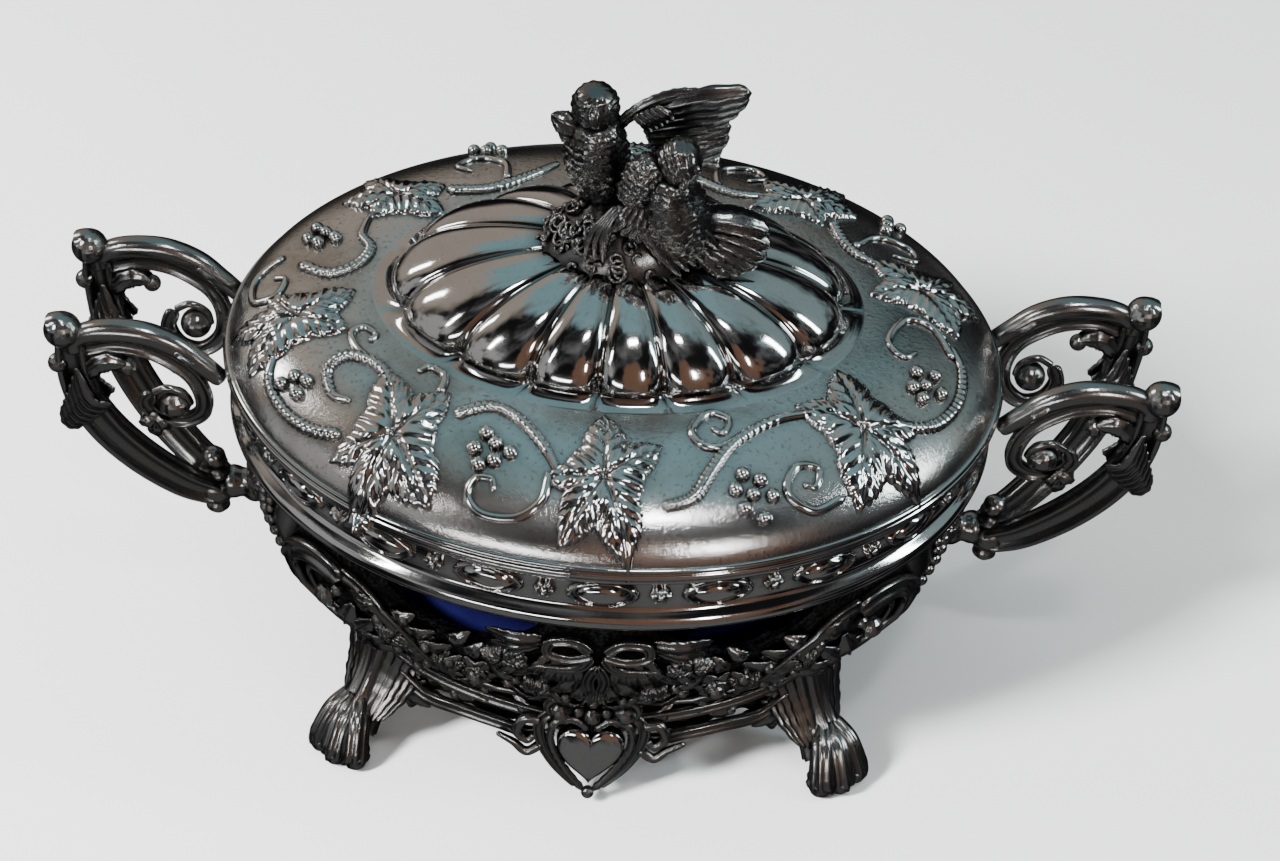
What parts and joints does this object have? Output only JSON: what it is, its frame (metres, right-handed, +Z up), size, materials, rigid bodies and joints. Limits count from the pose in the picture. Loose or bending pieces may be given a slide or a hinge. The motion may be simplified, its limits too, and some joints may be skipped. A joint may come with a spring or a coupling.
{
  "type": "sugar bowl",
  "caption": "Oval silver sugar bowl with lift-off domed lid, bird finial, scroll handles, pierced basket on splayed feet and a loose blue glass liner.",
  "frame": {"origin": "on the table, under the middle of the bowl", "axes": "+Z up, +X along the bowl's length towards one handle, +Y across towards the back"},
  "size_m": [0.2056, 0.1188, 0.129],
  "materials": {
    "cast_silver": "cast silver, darkened in its recesses and polished on its high places",
    "sheet_silver": "raised sheet silver, softly polished",
    "cobalt_glass": "clear deep blue glass"
  },
  "bodies": {
    "stand": {"collar_band": "sheet_silver", "collar_lip": "sheet_silver", "collar_bead": "sheet_silver", "collar_cabochons": "cast_silver", "collar_rosettes": "cast_silver", "basket_front": "cast_silver", "basket_back": "cast_silver", "basket_right_end": "cast_silver", "basket_left_end": "cast_silver", "foot_ring": "sheet_silver", "base_tray": "sheet_silver", "foot_front_right": "cast_silver", "foot_front_left": "cast_silver", "foot_back_right": "cast_silver", "foot_back_left": "cast_silver", "heart_cartouche_front": "cast_silver", "heart_cartouche_back": "cast_silver", "handle_right_front_arm": "cast_silver", "handle_left_front_arm": "cast_silver", "handle_right_back_arm": "cast_silver", "handle_left_back_arm": "cast_silver", "handle_right_knot": "cast_silver", "handle_left_knot": "cast_silver"},
    "liner": {"glass_liner": "cobalt_glass"},
    "lid": {"lid_shell": "sheet_silver", "lid_rim_wire": "sheet_silver", "lid_bezel": "sheet_silver", "finial_stud": "sheet_silver", "finial_washer": "sheet_silver", "finial_nut": "sheet_silver", "finial_mound": "cast_silver", "bird_back": "cast_silver", "bird_front": "cast_silver"}
  },
  "joints": [
    {"name": "lid_lift", "type": "slide", "parent": "stand", "child": "lid", "axis": [0, 0, 1], "range_m": [0, 0.15]},
    {"name": "liner_lift", "type": "slide", "parent": "stand", "child": "liner", "axis": [0, 0, 1], "range_m": [0, 0.07]}
  ],
  "couplings": [
    {"joint": "liner_lift", "follows": "lid_lift", "ratio": 0.45}
  ]
}
